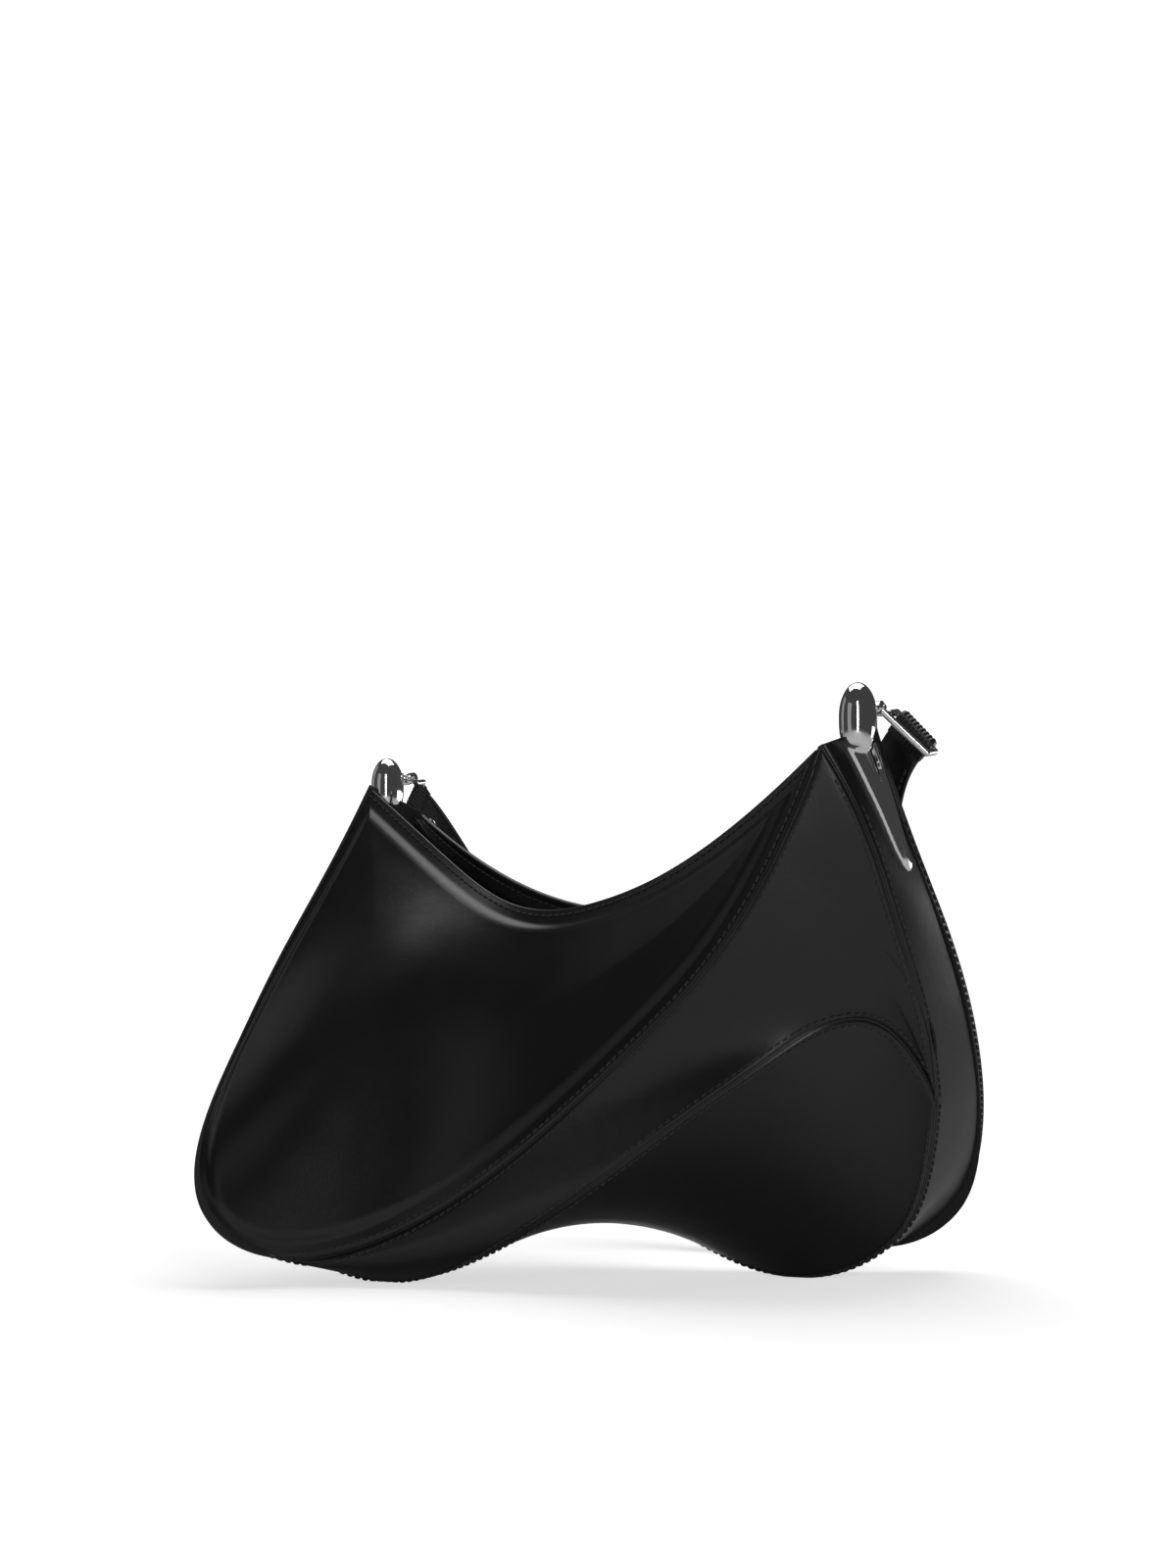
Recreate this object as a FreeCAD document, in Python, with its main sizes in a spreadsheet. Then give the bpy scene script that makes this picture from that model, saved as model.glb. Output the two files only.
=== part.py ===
import FreeCAD, Part
import math
import os
import Sketcher
from FreeCAD import Placement, Rotation, Vector

# A sculpted leather shoulder bag. It stands on two rounded lobes, its U-shaped
# mouth runs between two horns, and the body twists as it goes down. The row
# frame has +X from horn to horn, +Y to the back, +Z up, and its origin on the
# floor midway between the horns. The body is the same after half a turn about
# Z, so every back panel is its front twin turned by 180 degrees.

doc = FreeCAD.newDocument("spiral_bag")
sheet = doc.addObject("Spreadsheet::Sheet", "sizes")

SIZES = {
    "bag_length": 284,
    "bag_depth": 258,
    "bag_height": 223,
    "leather": 1.3,
    "seam_gap": 2.2,
    "leaf_crown": 0.022,
    "saddle_sag": 0.06,
    "pad_thick": 1.6,
    "board_thick": 0.9,
    "lining_thick": 0.6,
    "facing_width": 18,
    "facing_thick": 0.8,
    "rim_binding": 2.6,
    "inset_border": 8,
    "cap_gap": 1.3,
    "tongue_length": 52,
    "tongue_top_radius": 9,
    "tongue_tip_radius": 3.6,
    "tongue_thick": 3,
    "bulb_radius": 7.2,
    "bulb_tall": 12,
    "lug_width": 5,
    "lug_radius": 3,
    "pin_radius": 1,
    "pin_length": 14,
    "screw_radius": 1.2,
    "screw_head_radius": 2.2,
    "screw_head_thick": 1,
    "plate_thick": 1.2,
    "ring_wire": 1.4,
    "ring_eye": 2.6,
    "running_gap": 0.05,
    "strap_width": 18,
    "strap_thick": 2.2,
    "fold_outer": 3.6,
    "fold_inner": 1.6,
    "rivet_radius": 3,
    "buckle_length": 15,
    "buckle_wire": 1.1,
    "prong_wire": 0.8,
    "magnet_radius": 7,
    "magnet_thick": 2.2,
}

for row, (alias, value) in enumerate(SIZES.items(), start=1):
    sheet.set(f"A{row}", alias)
    sheet.set(f"B{row}", str(value))
    sheet.setAlias(f"B{row}", alias)
doc.recompute()


def size(alias):
    return float(getattr(sheet, alias))


# ---------------------------------------------------------------- seam curves
# The seams are drawn on a pattern block of this length, depth and height, and
# scaled from it to the bag's own size. Each is a smooth curve through poles.

BLOCK = (284, 258, 223)
GROW = (
    size("bag_length") / BLOCK[0],
    size("bag_depth") / BLOCK[1],
    size("bag_height") / BLOCK[2],
)

# Mouth rim of the front leaf, from the left horn to the right horn.
RIM = [(-130, -12, 223), (-82, -11, 188), (-43, -14, 158),
       (5, -10, 155), (66, -5, 177), (120, -13, 213)]

# Lower edge of the front leaf: down the left side, round the left lobe, then
# up the diagonal seam to the right horn.
LEAF_EDGE = [(-130, -12, 223), (-132, -31, 188), (-141, -55, 146),
             (-141, -80, 102), (-128, -112, 65), (-112, -129, 30),
             (-90, -105, 6), (-52, -69, 18), (-3, -47, 54),
             (48, -33, 100), (96, -19, 148), (120, -13, 213)]

# Front seam of the saddle: from the left tip down behind the left lobe, under
# it, up the diagonal and over the front disc to the right tip.
SADDLE_EDGE = [(-129, -62, 77), (-114, -85, 32), (-97, -78, 9),
               (-76, -63, -2), (-47, -53, -1), (-10, -47, 17),
               (28, -40, 42), (61, -26, 70), (91, -5, 95),
               (111, 17, 115), (125, 41, 109), (129, 62, 77)]

# Seam between the two gussets, from the right horn down to the right tip.
HORN_SEAM = [(120, -13, 213), (132, 0, 189), (132, 21, 145),
             (137, 43, 109), (129, 62, 77)]


def seam(poles):
    curve = Part.BSplineCurve()
    points = [Vector(x * GROW[0], y * GROW[1], z * GROW[2]) for x, y, z in poles]
    curve.buildFromPoles(points, False, 3)
    return curve


rim = seam(RIM)
leaf_edge = seam(LEAF_EDGE)
saddle_edge = seam(SADDLE_EDGE)
horn_seam = seam(HORN_SEAM)


def half_turn(point):
    return Vector(-point.x, -point.y, point.z)


# Where the gusset's tips fall along the leaf's edge.
LEFT_TIP = 0.29
RIGHT_TIP = 0.955


def leaf_pair(w):
    """A straight line of the leaf at w = 0 to 1: on the rim, on the edge."""
    return rim.value(w), leaf_edge.value(1 - (1 - w) ** 1.5)


def gusset_pair(w):
    """A straight line of the gusset at w = 0 to 3: on the leaf, on the far edge.

    0 to 1 is the band at the left horn, 1 to 2 the band under the left lobe
    and the diagonal, 2 to 3 the tall triangular face at the right horn.
    """
    if w < 1:
        return leaf_edge.value(LEFT_TIP * w), half_turn(horn_seam.value(w))
    if w < 2:
        share = 1 - (2 - w) ** 1.7
        place = LEFT_TIP + (RIGHT_TIP - LEFT_TIP) * share
        return leaf_edge.value(place), saddle_edge.value(w - 1)
    place = RIGHT_TIP + (1 - RIGHT_TIP) * (w - 2)
    return leaf_edge.value(place), horn_seam.value(3 - w)


def saddle_pair(w):
    """A line across the saddle, from its front seam to its back seam."""
    return saddle_edge.value(w), half_turn(saddle_edge.value(1 - w))


# ------------------------------------------------------------- leather sheets

def outward(pair, w, far_share):
    """Unit normal of a sheet. far_share is how much the far edge turns it."""
    before = pair(w - 0.01)
    after = pair(w + 0.01)
    tangent = (after[0] - before[0]) + (after[1] - before[1]) * far_share
    start, end = pair(w)
    return (end - start).cross(tangent).normalize()


def section(start, end, normal, crown, depth, thick):
    """A thin closed outline across a sheet, its two long sides bowed outward."""
    start = start - normal * depth
    end = end - normal * depth
    middle = (start + end) * 0.5 + normal * crown
    drop = normal * thick

    def side(first, centre, last):
        if crown < 0.05:
            return Part.makeLine(first, last)
        return Part.Arc(first, centre, last).toShape()

    outer = side(start, middle, end)
    inner = side(end - drop, middle - drop, start - drop)
    return Part.Wire([outer, Part.makeLine(end, end - drop),
                      inner, Part.makeLine(start - drop, start)])


def sheet_solid(pair, places, crown, depth, thick, near, far, far_share=1, ruled=False):
    """Loft a sheet between its two edges, through a line at each of the places.

    near and far pull the sheet in from each edge, in millimetres. crown(w) is
    the sheet's bow as a share of its width.
    """
    sections = []
    for w in places:
        start, end = pair(w)
        length = (end - start).Length
        along = (end - start).normalize()
        limit = 0.35 * length
        start = start + along * min(near, limit)
        end = end - along * min(far, limit)
        normal = outward(pair, w, far_share)
        sections.append(section(start, end, normal, crown(w) * length, depth, thick))
    solid = Part.makeLoft(sections, True, ruled)
    if solid.Volume < 0:
        solid.reverse()
    return solid


def spread(low, high, count):
    return [low + (high - low) * index / (count - 1) for index in range(count)]


def leaf_crown(w):
    return size("leaf_crown")


def saddle_sag(w):
    return size("saddle_sag") * math.sin(math.pi * w) ** 4


def no_crown(w):
    return 0.0


def leaf_layer(depth, thick, near, far, low=0.03, high=0.97):
    return sheet_solid(leaf_pair, spread(low, high, 33), leaf_crown, depth, thick, near, far,
                       1, True)


def gusset_solid():
    gap = size("seam_gap")
    places = spread(0.16, 1, 9)[:-1] + spread(1, 2, 29)[:-1] + spread(2, 2.86, 9)
    return sheet_solid(gusset_pair, places, no_crown, 0, size("leather"), gap, gap, 0, True)


def saddle_layer(depth, thick, margin, low, high):
    return sheet_solid(saddle_pair, spread(low, high, 25), saddle_sag, depth, thick,
                       margin, margin)


def above_floor(solid):
    """Cut a sheet flat where it rests on the floor."""
    block = Part.makeBox(400, 400, 50, Vector(-200, -200, -50))
    return solid.cut(block)


nodes = []


def keep(name, item, placement=None):
    item.Label = name
    if placement is not None:
        item.Placement = placement
    nodes.append((name, item))
    return item


def feature(name, shape, placement=None):
    item = doc.addObject("Part::Feature", name)
    item.Shape = shape
    return keep(name, item, placement)


BACK = Placement(Vector(), Rotation(Vector(0, 0, 1), 180))

# ------------------------------------------------------ hardware frame, screws
# Each cap lies on the centre of the gusset band at its horn. The right one is
# set out here: across the band, down the band, and out from it.

band_top = (horn_seam.value(0) + half_turn(leaf_edge.value(0))) * 0.5
band_low = (horn_seam.value(0.38) + half_turn(leaf_edge.value(0.125))) * 0.5
down = (band_low - band_top).normalize()
across_band = (half_turn(leaf_edge.value(0.06)) - horn_seam.value(0.19)).normalize()
out = down.cross(across_band).normalize()
across = down.cross(out) * -1
cap_seat = Placement(band_top, Rotation(across, down, out, "ZYX"))
left_seat = BACK * cap_seat

SCREW_PLACES = (14, 34)


def rod(start, end, radius):
    return Part.makeCylinder(radius, (end - start).Length, start, end - start)


def screw_shapes():
    shank = size("screw_radius")
    head = size("screw_head_radius")
    foot = -size("leather") - size("plate_thick") - 1.2
    shapes = []
    for place in SCREW_PLACES:
        under = Vector(0, place, foot)
        stem = rod(under, Vector(0, place, size("cap_gap") + 1.6), shank)
        disc = rod(under - Vector(0, 0, size("screw_head_thick")), under, head)
        shapes.append(stem.fuse(disc).removeSplitter())
    return shapes


def screw_holes(radius):
    holes = [rod(Vector(0, place, -8), Vector(0, place, size("cap_gap") + 1.9), radius)
             for place in SCREW_PLACES]
    return holes[0].fuse(holes[1:])


def seated(shape, seat):
    moved = shape.copy()
    moved.Placement = seat
    return moved


# ---------------------------------------------------------------- the leather

leather = size("leather")
gap = size("seam_gap")
front_gusset = gusset_solid().cut(seated(screw_holes(1.6), left_seat))

leaf = leaf_layer(0, leather, 0.4, gap)
feature("front_leaf_panel", leaf)
feature("back_leaf_panel", leaf, BACK)
feature("front_spiral_gusset", above_floor(front_gusset))
feature("back_spiral_gusset", above_floor(front_gusset), BACK)
feature("saddle_panel", above_floor(saddle_layer(0, leather, gap, 0.03, 0.97)))

pad_depth = leather + 0.3
board_depth = pad_depth + size("pad_thick") + 0.3
lining_depth = board_depth + size("board_thick") + 0.3
border = size("inset_border")

pad = leaf_layer(pad_depth, size("pad_thick"), border, border, 0.12, 0.88)
board = leaf_layer(board_depth, size("board_thick"), border, border, 0.14, 0.86)
feature("front_pad_foam", pad)
feature("back_pad_foam", pad, BACK)
feature("front_stiffener_board", board)
feature("back_stiffener_board", board, BACK)


def rim_strip(width):
    """Curve pairs for the strip of leaf that runs this far down from the rim."""
    def pair(w):
        start, end = leaf_pair(w)
        return start, start + (end - start).normalize() * width
    return pair


facing_width = size("facing_width")
binding = sheet_solid(rim_strip(border - 2), spread(0.1, 0.9, 15), no_crown,
                      pad_depth, size("rim_binding"), 0.6, 0)
facing = sheet_solid(rim_strip(facing_width), spread(0.12, 0.88, 15), no_crown,
                     lining_depth, size("facing_thick"), 0.6, 0)
lining = leaf_layer(lining_depth, size("lining_thick"), facing_width + 1, border + 2, 0.2, 0.8)
feature("front_rim_binding", binding)
feature("back_rim_binding", binding, BACK)
feature("front_facing_band", facing)
feature("back_facing_band", facing, BACK)
feature("front_lining", lining)
feature("back_lining", lining, BACK)
feature("saddle_stiffener_board", saddle_layer(leather + 0.3, size("board_thick"), 8, 0.2, 0.8))

# ------------------------------------------------------------------- the caps

def bound(item, **expressions):
    for name, expression in expressions.items():
        item.setExpression(name, expression)
    return item


def cap_piece(kind, name, position, **expressions):
    item = doc.addObject(kind, name)
    item.Placement = Placement(position, Rotation())
    return bound(item, **expressions)


BULB_CENTRE = Vector(128, 1, 226)
LUG_CENTRE = Vector(127, 10.5, 229)


def horn_cap(side, seat):
    """A cap for one horn: a thumb-like bulb over the tip, a tongue down the band
    and a lug on the bulb's back for the strap ring."""
    raised = size("cap_gap")
    sign = 1 if side == "right" else -1
    top = cap_piece("Part::Cylinder", f"{side}_tongue_top", Vector(0, 4, raised),
                    Radius="sizes.tongue_top_radius", Height="sizes.tongue_thick")
    tip = cap_piece("Part::Cylinder", f"{side}_tongue_tip", Vector(0, size("tongue_length"), raised),
                    Radius="sizes.tongue_tip_radius", Height="sizes.tongue_thick")
    web = cap_piece("Part::Wedge", f"{side}_tongue_web", Vector(0, 0, raised),
                    Xmin="-sizes.tongue_top_radius", Xmax="sizes.tongue_top_radius",
                    X2min="-sizes.tongue_tip_radius", X2max="sizes.tongue_tip_radius",
                    Ymax="sizes.tongue_length",
                    Zmax="sizes.tongue_thick", Z2max="sizes.tongue_thick")
    web.Ymin = 4
    web.Zmin = 0
    web.Z2min = 0
    tongue = doc.addObject("Part::MultiFuse", f"{side}_tongue")
    tongue.Shapes = [top, web, tip]
    tongue.Placement = seat

    bulb_foot = Vector(sign * BULB_CENTRE.x, sign * BULB_CENTRE.y, BULB_CENTRE.z - 9)
    bulb = doc.addObject("Part::Cylinder", f"{side}_bulb")
    bulb.Placement = Placement(bulb_foot, Rotation())
    bound(bulb, Radius="sizes.bulb_radius", Height="sizes.bulb_tall")
    bulb_top = doc.addObject("Part::Sphere", f"{side}_bulb_top")
    bulb_top.Placement = Placement(bulb_foot + Vector(0, 0, size("bulb_tall")), Rotation())
    bound(bulb_top, Radius="sizes.bulb_radius")

    lug = doc.addObject("Part::Cylinder", f"{side}_lug")
    lug_start = Vector(sign * LUG_CENTRE.x - size("lug_width") / 2, LUG_CENTRE.y, LUG_CENTRE.z)
    lug.Placement = Placement(lug_start, Rotation(Vector(0, 1, 0), 90))
    bound(lug, Radius="sizes.lug_radius", Height="sizes.lug_width")

    neck = doc.addObject("Part::Box", f"{side}_lug_neck")
    neck.Placement = Placement(lug_start + Vector(0, -6, -2), Rotation())
    bound(neck, Length="sizes.lug_width", Height="2 * (sizes.lug_radius - 1)")
    neck.Width = 6

    whole = doc.addObject("Part::MultiFuse", f"{side}_cap_blank")
    whole.Shapes = [tongue, bulb, bulb_top, lug, neck]

    pin_hole = doc.addObject("Part::Cylinder", f"{side}_pin_hole")
    pin_hole.Placement = Placement(lug_start + Vector(-5, 0, 0), Rotation(Vector(0, 1, 0), 90))
    bound(pin_hole, Radius="sizes.pin_radius + sizes.running_gap")
    pin_hole.Height = 15

    threads = doc.addObject("Part::Feature", f"{side}_screw_holes")
    threads.Shape = screw_holes(size("screw_radius") + 0.1)
    threads.Placement = seat

    cuts = doc.addObject("Part::MultiFuse", f"{side}_cap_cuts")
    cuts.Shapes = [pin_hole, threads]
    cap = doc.addObject("Part::Cut", f"{side}_horn_cap")
    cap.Base = whole
    cap.Tool = cuts
    return keep(f"{side}_horn_cap", cap)


horn_cap("right", cap_seat)
horn_cap("left", left_seat)


def clamp_plate(side, seat):
    """The backing plate inside the horn, under the heads of the cap's screws."""
    body = doc.addObject("PartDesign::Body", f"{side}_clamp_plate")
    origin = {item.Role: item for item in body.Origin.OriginFeatures}
    outline = body.newObject("Sketcher::SketchObject", f"{side}_plate_outline")
    outline.AttachmentSupport = [(origin["XY_Plane"], "")]
    outline.MapMode = "FlatFace"
    half = 4
    first, last = SCREW_PLACES[0] - 5, SCREW_PLACES[1] + 5
    corners = [Vector(-half, first, 0), Vector(half, first, 0),
               Vector(half, last, 0), Vector(-half, last, 0)]
    for index in range(4):
        outline.addGeometry(Part.LineSegment(corners[index], corners[(index + 1) % 4]))
    for place in SCREW_PLACES:
        hole = outline.addGeometry(Part.Circle(Vector(0, place, 0), Vector(0, 0, 1), 1.4))
        radius = outline.addConstraint(Sketcher.Constraint("Radius", hole, 1.4))
        outline.setExpression(f"Constraints[{radius}]", "sizes.screw_radius + 0.2")
    pad_feature = body.newObject("PartDesign::Pad", f"{side}_plate_pad")
    pad_feature.Profile = outline
    pad_feature.setExpression("Length", "sizes.plate_thick")
    rise = Placement(Vector(0, 0, -size("leather") - size("plate_thick") - 1.1), Rotation())
    return keep(f"{side}_clamp_plate", body, seat * rise)


clamp_plate("right", cap_seat)
clamp_plate("left", left_seat)

screws = [seated(shape, seat) for seat in (cap_seat, left_seat) for shape in screw_shapes()]
feature("cap_screws", Part.makeCompound(screws))

# ------------------------------------------------- rings, and pins in the lugs
# Both strap rings hang to the back, so the left one mirrors the right one.

BAR_CENTRE = Vector(138, 27, 221.5)
BAR_ALONG = Vector(0.66, 0.11, -0.74).normalize()
STRAP_DOWN = Vector(-0.75, 0.02, -0.66).normalize()
KNEE = 5.5


def mirrored(point, sign):
    return Vector(sign * point.x, point.y, point.z)


def strap_ring(side, sign):
    wire = size("ring_wire")
    half = size("strap_width") / 2 + 2.2
    reach = size("lug_width") / 2 + 0.35
    lug = mirrored(LUG_CENTRE, sign)
    centre = mirrored(BAR_CENTRE, sign)
    along = mirrored(BAR_ALONG, sign)
    inward = lug - centre
    inward = (inward - along * inward.dot(along)).normalize()
    ends = [centre - along * half, centre + along * half]
    solids = [rod(ends[0], ends[1], wire)]
    for end, way in zip(ends, (-sign, sign)):
        eye_in = lug + Vector(way * reach, 0, 0)
        eye_out = lug + Vector(way * (reach + 2 * wire), 0, 0)
        middle = (eye_in + eye_out) * 0.5
        knee = end + inward * KNEE
        solids.append(rod(eye_in, eye_out, size("ring_eye")))
        solids.append(rod(end, knee, wire))
        solids.append(rod(knee, middle, wire))
        solids.append(Part.makeSphere(wire, end))
        solids.append(Part.makeSphere(wire, knee))
    ring = solids[0].fuse(solids[1:])
    hole_radius = size("pin_radius") + size("running_gap")
    hole = rod(lug - Vector(12, 0, 0), lug + Vector(12, 0, 0), hole_radius)
    ring = ring.cut(hole)
    lug_space = rod(lug - Vector(reach, 0, 0), lug + Vector(reach, 0, 0), 3.4)
    return feature(f"{side}_strap_ring", ring.cut(lug_space).removeSplitter())


def pivot_pin(side, sign):
    pin = doc.addObject("Part::Cylinder", f"{side}_pivot_pin")
    start = mirrored(LUG_CENTRE, sign) - Vector(size("pin_length") / 2, 0, 0)
    bound(pin, Radius="sizes.pin_radius", Height="sizes.pin_length")
    return keep(f"{side}_pivot_pin", pin, Placement(start, Rotation(Vector(0, 1, 0), 90)))


for side, sign in (("right", 1), ("left", -1)):
    strap_ring(side, sign)
    pivot_pin(side, sign)

# ------------------------------------------------------------------ the strap
# The strap hangs behind the bag. At each ring it lies flat to the bag, and it
# turns a quarter turn on the way down, so that it bends the easy way.

START = BAR_CENTRE + STRAP_DOWN * 5
LEFT_START = mirrored(START, -1)
STRAP_POLES = [START, START + STRAP_DOWN * 14, Vector(105, 56, 178), Vector(92, 84, 118),
               Vector(66, 99, 62), Vector(34, 108, 24), Vector(0, 111, 17),
               Vector(-34, 108, 24), Vector(-66, 99, 62), Vector(-98, 80, 122),
               Vector(-122, 44, 185), LEFT_START + mirrored(STRAP_DOWN, -1) * 8, LEFT_START]
strap_line = Part.BSplineCurve()
strap_line.buildFromPoles(STRAP_POLES, False, 3)
LOOP_NORMAL = Vector(0, 0.89, 0.45).normalize()


def strap_frame(w):
    """Centre, width direction and face direction of the strap at w = 0 to 1."""
    centre = strap_line.value(w)
    tangent = Vector(*strap_line.tangent(w)[0])
    side = 1 if w < 0.5 else -1
    flat = mirrored(BAR_ALONG, side)
    near_end = min(w, 1 - w)
    turn = min(1, near_end / 0.34)
    turn = turn * turn * (3 - 2 * turn)
    wide = flat * (1 - turn) + LOOP_NORMAL * turn * side
    wide = (wide - tangent * wide.dot(tangent)).normalize()
    return centre, wide * side, tangent.cross(wide * side).normalize()


def strap_section(w, lift, width, thick):
    centre, wide, face = strap_frame(w)
    centre = centre + face * lift
    corners = [centre + wide * (width / 2 * a) + face * (thick / 2 * b)
               for a, b in ((-1, -1), (1, -1), (1, 1), (-1, 1))]
    return Part.makePolygon(corners + corners[:1])


def strap_solid(low, high, count, lift):
    """A length of strap. lift(w) raises it off the centre line, face outward."""
    sections = []
    for index in range(count):
        w = low + (high - low) * index / (count - 1)
        sections.append(strap_section(w, lift(w), size("strap_width"), size("strap_thick")))
    return Part.makeLoft(sections, True, False)


BUCKLE_PLACE = 0.66
TAIL_END = 0.78
LAYER = SIZES["strap_thick"] + 0.5


def short_lift(w):
    """The short end runs over the long end's tail, then comes back to the line."""
    fall = min(1, max(0, (w - TAIL_END) / 0.1))
    return LAYER * (1 - fall * fall * (3 - 2 * fall))


def upright(w):
    centre, wide, face = strap_frame(w)
    tangent = wide.cross(face)
    return Placement(centre, Rotation(wide, tangent, face, "ZXY"))


feature("strap_long_end", strap_solid(0.0, TAIL_END, 41, lambda w: 0.0))
feature("strap_short_end", strap_solid(BUCKLE_PLACE + 0.025, 1.0, 21, short_lift))


def fold(sign):
    """The strap's end, folded round the ring's bar."""
    centre = mirrored(BAR_CENTRE, sign)
    half = mirrored(BAR_ALONG, sign) * (size("strap_width") / 2)
    outer = rod(centre - half, centre + half, size("fold_outer"))
    inner = rod(centre - half * 1.2, centre + half * 1.2, size("fold_inner"))
    return outer.cut(inner)


feature("right_strap_fold", fold(1))
feature("left_strap_fold", fold(-1))


def on_strap(w, shape):
    moved = shape.copy()
    moved.Placement = upright(w)
    return moved


def rivet(w):
    """A stud through the folded end: a domed head on each face."""
    reach = size("strap_thick") / 2 + 0.1
    radius = size("rivet_radius")
    heads = []
    for way in (-1, 1):
        base = Vector(0, 0, way * reach)
        heads.append(rod(base, base + Vector(0, 0, way * 1.1), radius))
    return [on_strap(w, head) for head in heads]


RIVET_PLACES = (0.035, 0.965)
feature("strap_rivets", Part.makeCompound(
    [head for place in RIVET_PLACES for head in rivet(place)]))


def frame_of_rods(half_wide, half_long, wire, lift):
    """A flat rectangular frame of round wire."""
    corners = [Vector(a * half_wide, b * half_long, lift)
               for a, b in ((-1, -1), (1, -1), (1, 1), (-1, 1))]
    rods = [rod(corners[i], corners[(i + 1) % 4], wire) for i in range(4)]
    balls = [Part.makeSphere(wire, corner) for corner in corners]
    return rods[0].fuse(rods[1:] + balls).removeSplitter()


half_wide = size("strap_width") / 2 + size("buckle_wire") + 0.8
frame_lift = LAYER + 0.6
buckle = frame_of_rods(half_wide, size("buckle_length") / 2, size("buckle_wire"), frame_lift)
buckle_seat = upright(BUCKLE_PLACE)
feature("buckle_frame", buckle, buckle_seat)

keeper_outer = Part.makeBox(size("strap_width") + 4.4, 7, 2 * LAYER + 3.6,
                            Vector(-size("strap_width") / 2 - 2.2, -3.5, -LAYER / 2 - 1.8))
keeper_inner = Part.makeBox(size("strap_width") + 1.6, 9, 2 * LAYER + 0.8,
                            Vector(-size("strap_width") / 2 - 0.8, -4.5, -LAYER / 2 - 0.4))
feature("strap_keeper", keeper_outer.cut(keeper_inner), upright(BUCKLE_PLACE + 0.07))

# The prong's eye turns on the frame's bar and its tip rests on the far bar.
bar_y = size("buckle_length") / 2
prong_lift = size("buckle_wire") + size("prong_wire") + 0.1
eye = rod(Vector(-1.5, bar_y, frame_lift), Vector(1.5, bar_y, frame_lift), 2.2)
eye = eye.cut(rod(Vector(-3, bar_y, frame_lift), Vector(3, bar_y, frame_lift),
                  size("buckle_wire") + size("running_gap")))
needle = rod(Vector(0, bar_y - 1.4, frame_lift + prong_lift),
             Vector(0, -bar_y - 0.6, frame_lift + prong_lift), size("prong_wire"))
tip_ball = Part.makeSphere(size("prong_wire"), Vector(0, -bar_y - 0.6, frame_lift + prong_lift))
feature("buckle_prong", eye.fuse([needle, tip_ball]).removeSplitter(), buckle_seat)

# ------------------------------------------------------------- magnetic snap

def magnet(name, y_outer, way):
    """One round half of the snap inside the mouth, facing the other half."""
    disc = doc.addObject("Part::Cylinder", name)
    bound(disc, Radius="sizes.magnet_radius", Height="sizes.magnet_thick")
    turn = Rotation(Vector(1, 0, 0), -90 * way)
    return keep(name, disc, Placement(Vector(0, y_outer, SNAP_HEIGHT), turn))


SNAP_HEIGHT = 138
magnet("snap_socket", -7.5, 1)
magnet("snap_stud_plate", 7.5, -1)

# --------------------------------------------------------------- check, write

doc.recompute()
problems = [item.Name for item in doc.Objects
            if "Invalid" in item.State or "Error" in item.State]
for name, item in nodes:
    if item.Shape.isNull() or not item.Shape.isValid():
        problems.append(name)
if problems:
    raise RuntimeError("these did not build: " + ", ".join(problems))

os.makedirs("parts", exist_ok=True)
for name, item in nodes:
    item.Shape.exportStep(f"parts/{name}.step")
print(len(nodes), "nodes written")
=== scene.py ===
import math

import bpy
import numpy as np
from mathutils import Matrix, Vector, noise
from mathutils.kdtree import KDTree


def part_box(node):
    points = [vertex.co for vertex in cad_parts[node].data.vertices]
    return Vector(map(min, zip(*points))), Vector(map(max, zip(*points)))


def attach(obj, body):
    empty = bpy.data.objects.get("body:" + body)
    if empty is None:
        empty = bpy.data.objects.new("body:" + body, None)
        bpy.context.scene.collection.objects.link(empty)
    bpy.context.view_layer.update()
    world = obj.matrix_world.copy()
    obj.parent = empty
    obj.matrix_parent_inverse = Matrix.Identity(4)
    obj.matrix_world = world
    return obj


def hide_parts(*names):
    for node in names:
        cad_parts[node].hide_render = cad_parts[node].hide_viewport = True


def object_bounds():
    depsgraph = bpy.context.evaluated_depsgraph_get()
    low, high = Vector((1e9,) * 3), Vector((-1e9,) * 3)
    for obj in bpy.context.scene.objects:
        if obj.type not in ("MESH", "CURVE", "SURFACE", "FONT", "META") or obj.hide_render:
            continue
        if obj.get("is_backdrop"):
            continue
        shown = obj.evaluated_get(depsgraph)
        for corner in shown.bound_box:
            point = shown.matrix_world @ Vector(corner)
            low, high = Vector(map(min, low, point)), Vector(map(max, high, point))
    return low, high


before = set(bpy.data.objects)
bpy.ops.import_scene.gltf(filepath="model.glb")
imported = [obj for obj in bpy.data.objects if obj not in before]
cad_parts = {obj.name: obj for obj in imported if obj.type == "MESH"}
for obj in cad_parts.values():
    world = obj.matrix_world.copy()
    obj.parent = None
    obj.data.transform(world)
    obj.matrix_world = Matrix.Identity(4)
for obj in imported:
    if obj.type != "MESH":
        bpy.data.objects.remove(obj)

# The looks of a sculpted leather shoulder bag. Its body is made of curved
# strips between seam curves, the same curves the CAD solids are built on.
# The body is the same after half a turn about Z, so each back piece is made
# by turning its front twin.

MM = 0.001
cad_low, cad_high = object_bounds()

# The seam curves' poles are for a CAD model of this size, in millimetres.
NOMINAL = np.array([293.61, 241.76, 236.2])
FIT = np.array(cad_high - cad_low) / NOMINAL

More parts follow.
